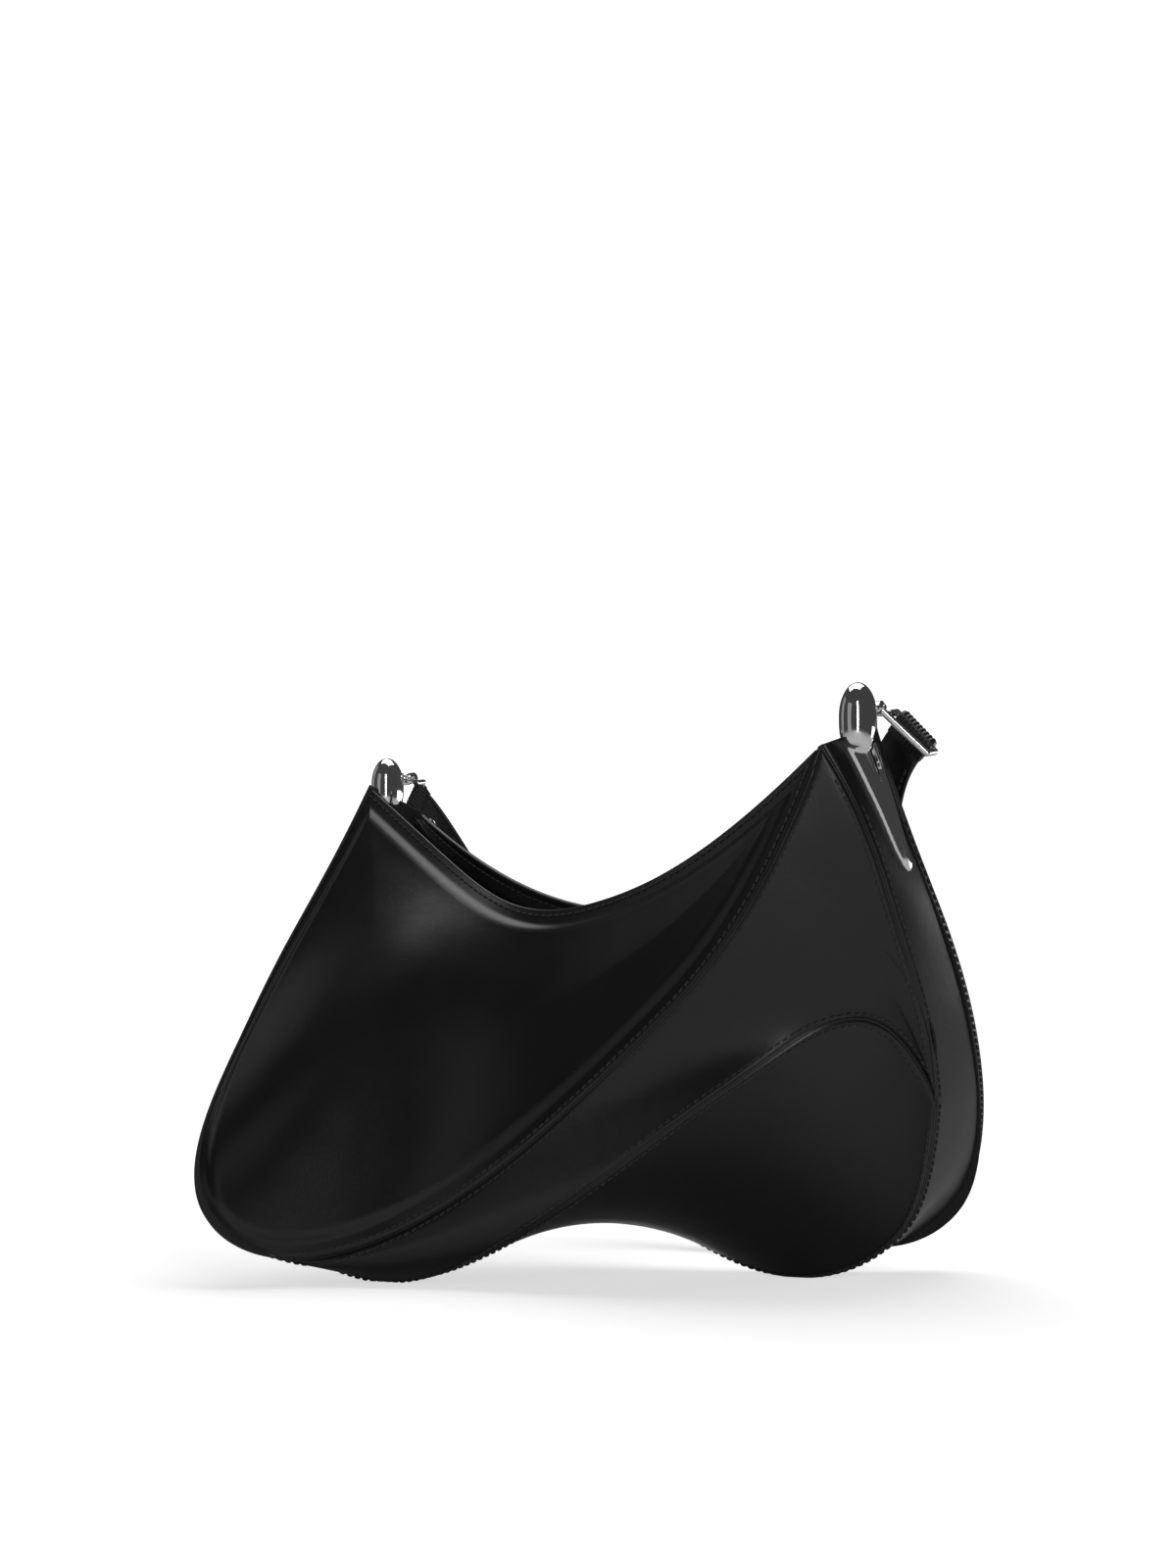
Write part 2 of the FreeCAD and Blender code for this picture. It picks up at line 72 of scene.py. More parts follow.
RIM = [(-130, -12, 223), (-82, -11, 188), (-43, -14, 158),
       (5, -10, 155), (66, -5, 177), (120, -13, 213)]
LEAF_EDGE = [(-130, -12, 223), (-132, -31, 188), (-141, -55, 146),
             (-141, -80, 102), (-128, -112, 65), (-112, -129, 30),
             (-90, -105, 6), (-52, -69, 18), (-3, -47, 54),
             (48, -33, 100), (96, -19, 148), (120, -13, 213)]
SADDLE_EDGE = [(-129, -62, 77), (-114, -85, 32), (-97, -78, 9),
               (-76, -63, -2), (-47, -53, -1), (-10, -47, 17),
               (28, -40, 42), (61, -26, 70), (91, -5, 95),
               (111, 17, 115), (125, 41, 109), (129, 62, 77)]
HORN_SEAM = [(120, -13, 213), (132, 0, 189), (132, 21, 145),
             (137, 43, 109), (129, 62, 77)]
LEFT_TIP, RIGHT_TIP = 0.29, 0.965
TURN = np.array([-1.0, -1.0, 1.0])
GUSSET_KNEES = np.array([[130, 18, 138], [137, 26, 144]]) * MM


# ------------------------------------------------------------ curves, strips

def spline(poles, t):
    """Points of a clamped uniform cubic B-spline at t = 0 to 1, in metres."""
    poles = np.array(poles, float) * FIT
    spans = len(poles) - 3
    u = np.clip(np.atleast_1d(t), 0, 1) * spans
    u = np.minimum(u, spans - 1e-9)
    knots = np.concatenate([[0] * 3, np.arange(spans + 1), [spans] * 3])
    k = np.floor(u).astype(int) + 3
    d = [poles[k - 3 + j] for j in range(4)]
    for r in (1, 2, 3):
        for j in range(3, r - 1, -1):
            i = j + k - 3
            a = ((u - knots[i]) / (knots[i + 4 - r] - knots[i]))[:, None]
            d[j] = (1 - a) * d[j - 1] + a * d[j]
    return d[3]


def leaf_pair(w):
    return spline(RIM, w), spline(LEAF_EDGE, 1 - (1 - w) ** 1.5)


def gusset_near(w):
    """The place along the leaf's edge that goes with each line of the gusset."""
    left = np.clip(2 - w, 0, 1)
    share = 1 - 0.7 * left - 0.3 * left ** 1.7
    middle = LEFT_TIP + (RIGHT_TIP - LEFT_TIP) * share
    last = RIGHT_TIP + (1 - RIGHT_TIP) * (w - 2)
    return np.where(w < 1, LEFT_TIP * w, np.where(w < 2, middle, last))


def gusset_pair(w):
    far = np.where((w < 1)[:, None], spline(HORN_SEAM, w) * TURN,
                   np.where((w < 2)[:, None], spline(SADDLE_EDGE, w - 1),
                            spline(HORN_SEAM, 3 - w)))
    return spline(LEAF_EDGE, gusset_near(w)), far


def gusset_bend(w, a, b):
    """The middle control point of each line of the gusset. The lines bend round
    the top of the saddle, to reach the corner behind it."""
    pull = smooth((w - 1.78) / 0.17) * (1 - smooth((w - 2.08) / 0.45))
    along = np.clip((w - 1.85) / 0.3, 0, 1)[:, None]
    knee = GUSSET_KNEES[0] * (1 - along) + GUSSET_KNEES[1] * along
    return (a + b) / 2 * (1 - pull[:, None]) + knee * pull[:, None]


def even_rows(pair, low, high, step):
    """Places w between which neither edge of a strip moves more than a step."""
    w = np.linspace(low, high, 8000)
    moves = [np.linalg.norm(np.diff(edge, axis=0), axis=1) for edge in pair(w)]
    reach = np.concatenate([[0], np.cumsum(np.maximum(*moves))])
    return np.interp(np.linspace(0, reach[-1], int(reach[-1] / step)), reach, w)


def saddle_pair(w):
    return spline(SADDLE_EDGE, w), spline(SADDLE_EDGE, 1 - w) * TURN


def unit(v):
    return v / np.maximum(np.linalg.norm(v, axis=-1, keepdims=True), 1e-12)


def smooth(x):
    x = np.clip(x, 0, 1)
    return x * x * (3 - 2 * x)


def box_blur(a):
    """Average over each point's neighbours in a grid of vectors."""
    p = np.pad(a, ((1, 1), (1, 1), (0, 0)), mode="edge")
    rows, cols = a.shape[:2]
    return sum(p[i:i + rows, j:j + cols] for i in range(3) for j in range(3)) / 9


def grid_normals(p):
    raw = np.cross(np.gradient(p, axis=1), np.gradient(p, axis=0))
    raw[0] = raw[1]
    raw[-1] = raw[-2]
    return unit(box_blur(raw))


EDGE_STEPS = np.array([0, .3, .7, 1.2, 1.8, 2.5, 3.3, 4.2, 5.2, 6.0, 6.7, 7.4,
                       8.2, 9.2, 10.6, 12.6, 15.2]) * MM


class Strip:
    """A grid between two curves, with its normals and the width of each of its lines.
    The lines across it are straight, or bent by a middle control point."""

    def __init__(self, pair, ws, middle, crown, bend=None):
        a, b = pair(ws)
        m = (a + b) / 2 if bend is None else bend(ws, a, b)
        self.w = ws
        self.width = np.linalg.norm(b - a, axis=1)
        rows = []
        for width in self.width:
            squeeze = min(1.0, 0.42 * width / EDGE_STEPS[-1])
            near = EDGE_STEPS * squeeze
            centre = np.linspace(near[-1], width - near[-1], middle + 2)[1:-1]
            rows.append(np.concatenate([near, centre, width - near[::-1]]))
        self.across = np.array(rows)
        v = self.across / self.width[:, None]
        v = v[..., None]
        flat = a[:, None] * (1 - v) ** 2 + m[:, None] * 2 * v * (1 - v) + b[:, None] * v * v
        v = v[..., 0]
        bow = 4 * v * (1 - v) * (crown(ws) * self.width)[:, None]
        self.p = flat + grid_normals(flat) * bow[..., None]
        self.n = grid_normals(self.p)


def closest(tree, line, points):
    """Distance from each point to a sampled line, and the nearest sample's index."""
    flat = points.reshape(-1, 3)
    index = np.array([tree.find(q)[1] for q in flat])
    best = np.full(len(flat), 1e9)
    for step in (-1, 1):
        other = np.clip(index + step, 0, len(line) - 1)
        a, b = line[index], line[other]
        d = b - a
        t = np.einsum("ij,ij->i", flat - a, d) / np.maximum(np.einsum("ij,ij->i", d, d), 1e-18)
        gap = np.linalg.norm(flat - a - np.clip(t, 0, 1)[:, None] * d, axis=1)
        best = np.minimum(best, gap)
    return best.reshape(points.shape[:-1]), index.reshape(points.shape[:-1])


def tree_of(points):
    tree = KDTree(len(points))
    for i, q in enumerate(points):
        tree.insert(q, i)
    tree.balance()
    return tree


class Seam:
    """A sampled seam with the mean outward direction of the strips it joins."""

    def __init__(self, line, *strips):
        self.line = line
        self.tree = tree_of(line)
        total = np.zeros_like(line)
        for strip, turn in strips:
            cloud = (strip.p[:, [0, -1]] * turn).reshape(-1, 3)
            normals = (strip.n[:, [0, -1]] * turn).reshape(-1, 3)
            near = tree_of(cloud)
            total += normals[[near.find(q)[1] for q in line]]
        self.out = unit(total)

    def turned(self):
        other = object.__new__(Seam)
        other.line = self.line * TURN
        other.out = self.out * TURN
        other.tree = tree_of(other.line)
        return other


SAMPLES = np.linspace(0, 1, 1500)
LEAF_ROWS = 400
leaf = Strip(leaf_pair, np.linspace(0.001, 0.999, LEAF_ROWS), 44, lambda w: np.full_like(w, 0.022))
gusset = Strip(gusset_pair, even_rows(gusset_pair, 0, 2.995, 1.4 * MM), 30, np.zeros_like,
               gusset_bend)
saddle = Strip(saddle_pair, np.linspace(0.0, 1.0, 300), 40,
               lambda w: 0.06 * np.sin(math.pi * w) ** 4)
SAME = np.ones(3)
leaf_seam = Seam(spline(LEAF_EDGE, SAMPLES), (leaf, SAME), (gusset, SAME))
saddle_seam = Seam(spline(SADDLE_EDGE, SAMPLES), (gusset, SAME), (saddle, SAME))
horn_seam = Seam(spline(HORN_SEAM, SAMPLES), (gusset, SAME), (gusset, TURN))
rim_line = spline(RIM, SAMPLES)
rim_tree = tree_of(rim_line)

SEAM_DEEP = 1.1 * MM
SEAM_WIDE = 2.3 * MM


def rolled(strip, seams):
    """How far each grid point sinks at the seams, in which direction, and its
    distance from the nearest seam."""
    nearest = np.full(strip.p.shape[:2], 1e9)
    toward = strip.n.copy()
    for seam in seams:
        gap, index = closest(seam.tree, seam.line, strip.p)
        closer = gap < nearest
        nearest = np.where(closer, gap, nearest)
        toward = np.where(closer[..., None], seam.out[index], toward)
    own = smooth(nearest / (3 * MM))[..., None]
    toward = unit(toward * (1 - own) + strip.n * own)
    sink = -SEAM_DEEP * (1 - np.clip(nearest / SEAM_WIDE, 0, 1)) ** 2
    return sink, toward, nearest


def waves(points, size, seed, stretch=(1, 1, 1)):
    """Smooth noise from -1 to 1 at each point; size is the wave's length."""
    scaled = points.reshape(-1, 3) * np.array(stretch) / size + seed
    return np.array([noise.noise(Vector(q)) for q in scaled]).reshape(points.shape[:-1])


# ------------------------------------------------------------------- meshes

def mesh_object(name, vertices, faces, material, shade=True):
    mesh = bpy.data.meshes.new(name)
    mesh.from_pydata([tuple(v) for v in vertices], [], faces)
    mesh.validate()
    if shade:
        mesh.polygons.foreach_set("use_smooth", [True] * len(mesh.polygons))
    mesh.materials.append(material)
    thing = bpy.data.objects.new(name, mesh)
    bpy.context.scene.collection.objects.link(thing)
    return thing


def shell(name, outer, inner, material):
    """A closed sheet from an outer and an inner grid of points."""
    rows, cols = outer.shape[:2]
    index = np.arange(rows * cols).reshape(rows, cols)
    back = index + rows * cols
    faces = []
    a, b, c, d = index[:-1, :-1], index[:-1, 1:], index[1:, 1:], index[1:, :-1]
    faces += np.stack([a, b, c, d], -1).reshape(-1, 4).tolist()
    faces += (np.stack([d, c, b, a], -1) + rows * cols).reshape(-1, 4).tolist()
    loop = np.concatenate([index[0, :-1], index[:-1, -1], index[-1, :0:-1], index[:0:-1, 0]])
    behind = np.concatenate([back[0, :-1], back[:-1, -1], back[-1, :0:-1], back[:0:-1, 0]])
    ahead, ahead_behind = np.roll(loop, -1), np.roll(behind, -1)
    faces += np.stack([loop, behind, ahead_behind, ahead], -1).tolist()
    points = np.concatenate([outer.reshape(-1, 3), inner.reshape(-1, 3)])
    return mesh_object(name, points, faces, material)


def sweep(name, rings, material, closed=False):
    """Closed loops of points joined in order; the ends are capped."""
    rings = np.array(rings)
    count, sides = rings.shape[:2]
    faces = []
    for i in range(count if closed else count - 1):
        j = (i + 1) % count
        for k in range(sides):
            m = (k + 1) % sides
            faces.append((i * sides + k, i * sides + m, j * sides + m, j * sides + k))
    if not closed:
        faces.append(tuple(range(sides))[::-1])
        faces.append(tuple((count - 1) * sides + k for k in range(sides)))
    return mesh_object(name, rings.reshape(-1, 3), faces, material)


def bead(name, line, out, radius, material, squash=1.0, sides=10):
    """A round cord along a line; out is the direction its profile is squashed in."""
    along = unit(np.gradient(line, axis=0))
    side = unit(np.cross(along, out))
    up = np.cross(side, along)
    angles = np.linspace(0, 2 * math.pi, sides, endpoint=False)
    rings = [p + radius * (np.outer(np.cos(angles), s) + squash * np.outer(np.sin(angles), u))
             for p, s, u in zip(line, side, up)]
    return sweep(name, rings, material)


def resample(line, others, step):
    """Points at equal steps along a line, with other arrays carried along."""
    reach = np.concatenate([[0], np.cumsum(np.linalg.norm(np.diff(line, axis=0), axis=1))])
    places = np.arange(step / 2, reach[-1], step)
    pick = lambda a: np.stack([np.interp(places, reach, a[:, k]) for k in range(3)], -1)
    return pick(line), [pick(a) for a in others]


STITCH_PITCH = 3.5 * MM
STITCH_RADIUS = 0.44 * MM
STITCH_HALF = 1.25 * MM


def stitches(name, line, out, material, slant=0.10, pitch=STITCH_PITCH):
    """A row of short thread capsules lying along a line on a surface."""
    spots, (up, ) = resample(line, [out], pitch)
    along = unit(np.gradient(spots, axis=0))
    up = unit(up - along * np.sum(up * along, -1, keepdims=True))
    side = np.cross(up, along)
    along = unit(along + side * slant)
    side = np.cross(up, along)
    angles = np.linspace(0, 2 * math.pi, 8, endpoint=False)
    profile = [(-1.0, 0.35), (-0.86, 0.8), (-0.5, 1.0), (0.5, 1.0), (0.86, 0.8), (1.0, 0.35)]
    vertices, faces = [], []
    for p, a, s, u in zip(spots, along, side, up):
        base = len(vertices)
        for place, wide in profile:
            dip = -0.25 * STITCH_RADIUS * place ** 4
            for angle in angles:
                r = STITCH_RADIUS * wide
                vertices.append(p + a * place * STITCH_HALF + s * math.cos(angle) * r
                                + u * (math.sin(angle) * r + dip + 0.5 * STITCH_RADIUS))
        for i in range(len(profile) - 1):
            for k in range(8):
                m = (k + 1) % 8
                faces.append((base + i * 8 + k, base + i * 8 + m,
                              base + i * 8 + 8 + m, base + i * 8 + 8 + k))
        faces.append(tuple(base + k for k in range(8))[::-1])
        faces.append(tuple(base + (len(profile) - 1) * 8 + k for k in range(8)))
    return mesh_object(name, vertices, faces, material)


def twin(thing, name, body, *replaced):
    """The same piece after half a turn about Z."""
    mesh = thing.data.copy()
    mesh.name = name
    co = np.empty(len(mesh.vertices) * 3, np.float32)
    mesh.vertices.foreach_get("co", co)
    mesh.vertices.foreach_set("co", (co.reshape(-1, 3) * TURN.astype(np.float32)).ravel())
    mesh.update()
    other = bpy.data.objects.new(name, mesh)
    bpy.context.scene.collection.objects.link(other)
    return finish_piece(other, body, replaced)


def finish_piece(thing, body, replaced=()):
    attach(thing, body)
    if replaced:
        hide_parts(*replaced)
    return thing


# ---------------------------------------------------------------- materials

class Nodes:
    """A short way to write a node material."""

    def __init__(self, name):
        self.material = bpy.data.materials.new(name)
        self.material.use_nodes = True
        self.tree = self.material.node_tree
        self.shader = self.tree.nodes["Principled BSDF"]

    def add(self, kind, **inputs):
        node = self.tree.nodes.new(kind)
        for key, value in inputs.items():
            if hasattr(node, key):
                setattr(node, key, value)
            else:
                node.inputs[key.replace("_", " ")].default_value = value
        return node

    def link(self, source, target):
        self.tree.links.new(source, target)

    def set(self, **inputs):
        for key, value in inputs.items():
            self.shader.inputs[key.replace("_", " ")].default_value = value

    def places(self):
        return self.add("ShaderNodeTexCoord").outputs["Object"]

    def noise(self, scale, detail=4.0, roughness=0.55):
        node = self.add("ShaderNodeTexNoise", Scale=scale, Detail=detail, Roughness=roughness)
        self.link(self.places(), node.inputs["Vector"])
        return node.outputs["Fac"]

    def cells(self, scale):
        node = self.add("ShaderNodeTexVoronoi", Scale=scale)
        node.feature = "DISTANCE_TO_EDGE"
        self.link(self.places(), node.inputs["Vector"])
        return node.outputs["Distance"]

    def span(self, value, low, high):
        node = self.add("ShaderNodeMapRange")
        node.inputs["To Min"].default_value = low
        node.inputs["To Max"].default_value = high
        self.link(value, node.inputs["Value"])
        return node.outputs["Result"]

    def colours(self, value, first, last):
        node = self.add("ShaderNodeValToRGB")
        node.color_ramp.elements[0].color = (*first, 1)
        node.color_ramp.elements[1].color = (*last, 1)
        self.link(value, node.inputs["Fac"])
        self.link(node.outputs["Color"], self.shader.inputs["Base Color"])

    def bump(self, *layers):
        """Each layer is (height, strength, distance)."""
        last = None
        for height, strength, distance in layers:
            node = self.add("ShaderNodeBump", Strength=strength, Distance=distance)
            self.link(height, node.inputs["Height"])
            if last is not None:
                self.link(last.outputs["Normal"], node.inputs["Normal"])
            last = node
        self.link(last.outputs["Normal"], self.shader.inputs["Normal"])


def leather(name, dark, light, rough, grain):
    m = Nodes(name)
    m.colours(m.noise(38, 5), dark, light)
    m.link(m.span(m.noise(55, 5), rough - 0.05, rough + 0.07), m.shader.inputs["Roughness"])
    m.set(Specular_IOR_Level=0.5, Coat_Weight=0.08, Coat_Roughness=0.2)
    pores = m.span(m.cells(1500), 0, 1)
    m.bump((m.noise(420, 6), grain * 0.5, 0.0004), (pores, grain, 0.00012))
    return m.material


def metal(name, colour, rough, scratches):
    m = Nodes(name)
    m.colours(m.noise(60, 3), colour, tuple(min(1, c * 1.04) for c in colour))
    m.link(m.span(m.noise(900, 4), rough * 0.8, rough * 1.3), m.shader.inputs["Roughness"])
    m.set(Metallic=1.0)
    m.bump((m.noise(240, 2), scratches, 0.0002))
    return m.material


def cloth(name, dark, light, thread, strength):
    """A twill: crossed fine waves over a little colour variation."""
    m = Nodes(name)
    m.colours(m.noise(160, 5), dark, light)
    m.set(Roughness=0.9, Sheen_Weight=0.15)
    wave = m.add("ShaderNodeTexWave", Scale=thread, Distortion=0.6)
    wave.bands_direction = "DIAGONAL"
    m.link(m.places(), wave.inputs["Vector"])
    m.bump((m.noise(700, 5), strength * 0.6, 0.0003), (wave.outputs["Fac"], strength, 0.0003))
    return m.material


calf = leather("smooth_calf", (0.0042, 0.0042, 0.0046), (0.0075, 0.0075, 0.0082), 0.30, 0.22)
strap_calf = leather("strap_calf", (0.007, 0.007, 0.0075), (0.012, 0.012, 0.013), 0.38, 0.25)
facing_calf = leather("facing_calf", (0.009, 0.009, 0.0095), (0.014, 0.014, 0.015), 0.42, 0.25)
# The rim's edge paint is given a tone several times lighter than the calf, as a painted highlight along
# the rim.
edge_paint_and_painted_highlight = leather("edge_paint_and_painted_highlight", (0.022, 0.022, 0.024), (0.035, 0.035, 0.037), 0.30, 0.08)
thread = cloth("thread", (0.022, 0.022, 0.024), (0.045, 0.045, 0.048), 2600, 0.5)
twill = cloth("lining_twill", (0.010, 0.010, 0.011), (0.020, 0.020, 0.022), 900, 0.5)
foam = cloth("foam", (0.20, 0.20, 0.21), (0.28, 0.28, 0.29), 300, 0.3)
board = cloth("fibre_board", (0.26, 0.24, 0.21), (0.34, 0.32, 0.28), 200, 0.2)
chrome = metal("chrome", (0.86, 0.86, 0.87), 0.055, 0.02)
steel = metal("steel", (0.52, 0.52, 0.53), 0.28, 0.15)

CAD_LOOKS = {
    foam: ["front_pad_foam", "back_pad_foam"],
    board: ["front_stiffener_board", "back_stiffener_board", "saddle_stiffener_board"],
    chrome: ["right_strap_ring", "left_strap_ring", "right_pivot_pin", "left_pivot_pin",
             "buckle_frame", "buckle_prong"],
    steel: ["snap_socket", "snap_stud_plate", "cap_screws", "right_clamp_plate",
            "left_clamp_plate"],
}
for look, names in CAD_LOOKS.items():
    for node_name in names:
        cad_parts[node_name].data.materials.clear()
        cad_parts[node_name].data.materials.append(look)

# ------------------------------------------------------------- the bag's body

LEATHER = 1.3 * MM


def put_on(strip, seams, extra):
    """Outer and inner grids of a leather strip. extra adds height to its face."""
    sink, toward, gap = rolled(strip, seams)
    outer = strip.p + toward * sink[..., None] + strip.n * (extra * smooth(gap / (4 * MM)))[..., None]
    return outer, outer - toward * LEATHER


# The leaf's padded inset has the same distance to the rim and to the seam all
# round, which gives it its sharp tip.
rim_gap, _ = closest(rim_tree, rim_line, leaf.p)
seam_gap, _ = closest(leaf_seam.tree, leaf_seam.line, leaf.p)
inset = np.minimum(rim_gap, seam_gap)
INSET_START = 6.2 * MM
rise = smooth((inset - INSET_START) / (4.6 * MM))
lip = 0.12 * np.exp(-((inset - INSET_START - 4.4 * MM) / (2.6 * MM)) ** 2)
puff = 1.6 * smooth((inset - INSET_START) / (48 * MM))
soft = 0.25 * waves(leaf.p, 45 * MM, 3.1) + 0.10 * waves(leaf.p, 14 * MM, 7.7)
leaf_height = (1.35 * rise + lip + puff + soft * rise) * MM
leaf_sink, leaf_toward, _ = rolled(leaf, [leaf_seam])
leaf_outer = leaf.p + leaf_toward * leaf_sink[..., None] + leaf.n * leaf_height[..., None]
leaf_inner = leaf_outer - leaf_toward * LEATHER
front_leaf = shell("front_leaf_skin", leaf_outer, leaf_inner, calf)
finish_piece(front_leaf, "bag", ["front_leaf_panel"])
twin(front_leaf, "back_leaf_skin", "bag", "back_leaf_panel")

gusset_v = gusset.across / gusset.width[:, None]
bulge = 4 * gusset_v * (1 - gusset_v)
gusset_puff = (0.9 * bulge * np.minimum(1, gusset.width / (60 * MM))[:, None]
               + 0.30 * waves(gusset.p, 38 * MM, 11.3) * bulge)
turn_place = np.array([20, -46, 62]) * MM
near_turn = np.exp(-(np.linalg.norm(gusset.p - turn_place, axis=-1) / (38 * MM)) ** 2)
wrinkles = near_turn * (0.16 * waves(gusset.p, 5 * MM, 2.2, (1.6, 1, 0.6))
                        + 0.10 * waves(gusset.p, 2.2 * MM, 5.5))
gusset_outer, gusset_inner = put_on(gusset, [leaf_seam, saddle_seam, horn_seam, horn_seam.turned()],
                                    (gusset_puff + wrinkles) * MM)
front_gusset = shell("front_gusset_skin", gusset_outer, gusset_inner, calf)
finish_piece(front_gusset, "bag", ["front_spiral_gusset"])
twin(front_gusset, "back_gusset_skin", "bag", "back_spiral_gusset")

saddle_soft = (0.35 * waves(saddle.p, 40 * MM, 21.0) + 0.08 * waves(saddle.p, 9 * MM, 4.0))
saddle_outer, saddle_inner = put_on(saddle, [saddle_seam, saddle_seam.turned()],
                                    saddle_soft * MM)
saddle_skin = shell("saddle_skin", saddle_outer, saddle_inner, calf)
finish_piece(saddle_skin, "bag", ["saddle_panel"])

# A cord of leather closes each seam from inside, under the groove.
CORD = 1.0 * MM
for name, seam in (("leaf", leaf_seam), ("saddle", saddle_seam), ("horn", horn_seam)):
    low = seam.line - seam.out * (SEAM_DEEP + 0.6 * CORD)
    cord = bead(f"front_{name}_seam_cord", low[::6], seam.out[::6], CORD, calf)
    finish_piece(cord, "bag", ())
    twin(cord, f"back_{name}_seam_cord", "bag")


def row_line(grid, strip, seam, side, offset, low, high, others=()):
    """A line on a strip's face at an even distance from the seam at one edge.
    It stops short of the other seams."""
    gaps = closest(seam.tree, seam.line, strip.p)[0]
    clear = np.full(gaps.shape, 1e9)
    for other in others:
        clear = np.minimum(clear, closest(other.tree, other.line, strip.p)[0])
    step = 1 if side == "near" else -1
    half = strip.p.shape[1] // 2 + 6
    line, out = [], []
    for i in np.nonzero((strip.w >= low) & (strip.w <= high))[0]:
        row = gaps[i, ::step][:half]
        j = int(np.argmax(row > offset))
        if j == 0 or clear[i, ::step][j] < offset * 0.9:
            continue
        t = (offset - row[j - 1]) / (row[j] - row[j - 1])
        for kept, source in ((line, grid), (out, strip.n)):
            points = source[i, ::step]
            kept.append(points[j - 1] * (1 - t) + points[j] * t)
    return np.array(line), np.array(out)


rim_seam = Seam(rim_line, (leaf, SAME))
left_horn_seam = horn_seam.turned()
ROWS = [
    ("leaf_edge_stitches", leaf_outer, leaf, leaf_seam, "far", 0.0, 1.0, [rim_seam]),
    ("leaf_rim_stitches", leaf_outer, leaf, rim_seam, "near", 0.0, 1.0, [leaf_seam]),
    ("gusset_leaf_stitches", gusset_outer, gusset, leaf_seam, "near", 0.15, 2.9,
     [saddle_seam, horn_seam]),
    ("gusset_saddle_stitches", gusset_outer, gusset, saddle_seam, "far", 1.0, 2.0,
     [leaf_seam, horn_seam]),
    ("gusset_horn_stitches", gusset_outer, gusset, left_horn_seam, "far", 0.15, 1.0, [leaf_seam]),
    ("gusset_face_stitches", gusset_outer, gusset, horn_seam, "far", 2.0, 2.9,
     [saddle_seam, leaf_seam]),
    ("saddle_stitches", saddle_outer, saddle, saddle_seam, "near", 0.02, 0.98,
     [saddle_seam.turned()]),
]
STITCH_INSET = 2.6 * MM
for name, grid, strip, seam, side, low, high, others in ROWS:
    line, out = row_line(grid, strip, seam, side, STITCH_INSET, low, high, others)
    row = stitches(f"front_{name}", line, out, thread)
    finish_piece(row, "bag", ())
    twin(row, f"back_{name}", "bag")

# --------------------------------------------------- mouth: rim, facing, lining

RIM_DEEP = 1.35 * MM
LINING_DEEP = 4.8 * MM
FACING_SLOPE = 8.5 * MM
FACING_THICK = 1.0 * MM


def under(strip, reach, depth):
    """Points under a strip at given distances from its near edge."""
    reach = np.minimum(reach[None, :], strip.width[:, None] * 0.9)
    out = np.empty((*reach.shape, 3))
    for i in range(len(reach)):
        for k in range(3):
            out[i, :, k] = (np.interp(reach[i], strip.across[i], strip.p[i, :, k])
                            - np.interp(reach[i], strip.across[i], strip.n[i, :, k]) * depth(reach[i]))
    return out


def facing_depth(reach):
    return RIM_DEEP + (LINING_DEEP - RIM_DEEP) * smooth(reach / FACING_SLOPE)


facing_rows = slice(6, LEAF_ROWS - 6)
reaches = np.concatenate([np.linspace(0, 9, 15), np.linspace(10, 18, 9)]) * MM
facing_top = under(leaf, reaches, facing_depth)[facing_rows]
facing_low = under(leaf, reaches, lambda r: facing_depth(r) + FACING_THICK)[facing_rows]
facing = shell("front_facing", facing_top, facing_low, facing_calf)
finish_piece(facing, "bag", ["front_facing_band", "front_rim_binding"])
twin(facing, "back_facing", "bag", "back_facing_band", "back_rim_binding")

for name, column in (("facing_rim_stitches", 4), ("facing_low_stitches", -3)):
    line = facing_low[:, column]
    row = stitches(f"front_{name}", line, -grid_normals(facing_low)[:, column], thread)
    finish_piece(row, "bag", ())
    twin(row, f"back_{name}", "bag")

# The bead along the rim is coloured lighter than the body leather: edge paint, with a painted highlight
# along the rim edge.
rim_out = leaf.n[:, 0]
rim_edge = leaf.p[:, 0] - rim_out * 1.15 * MM
painted = bead("front_rim_edge", rim_edge[2:-2], rim_out[2:-2], 0.95 * MM, edge_paint_and_painted_highlight, 1.35)
finish_piece(painted, "bag", ())
twin(painted, "back_rim_edge", "bag")


def lining(name, strip, start, depth, folds, *replaced):
    p, n = strip.p[:, start:], strip.n[:, start:]
    ripple = folds * MM * waves(p, 26 * MM, 9.0, (1, 1, 0.5))
    top = p - n * (depth + ripple)[..., None]
    thing = shell(name, top, top - n * 0.5 * MM, twill)
    return finish_piece(thing, "bag", replaced)


front_lining = lining("front_leaf_lining", leaf, 17, LINING_DEEP, 0.4, "front_lining")
twin(front_lining, "back_leaf_lining", "bag", "back_lining")
side_lining = lining("front_gusset_lining", gusset, 0, 2.4 * MM, 0.3)
twin(side_lining, "back_gusset_lining", "bag")
lining("saddle_lining", saddle, 0, 2.4 * MM, 0.3)

# ------------------------------------------------------------------ horn caps

def merged(name, parts, material):
    """One object that holds the meshes of all the parts."""
    vertices, faces = [], []
    for part in parts:
        base = len(vertices)
        vertices += [v.co.copy() for v in part.data.vertices]
        faces += [tuple(base + i for i in f.vertices) for f in part.data.polygons]
        bpy.data.objects.remove(part)
    return mesh_object(name, vertices, faces, material)


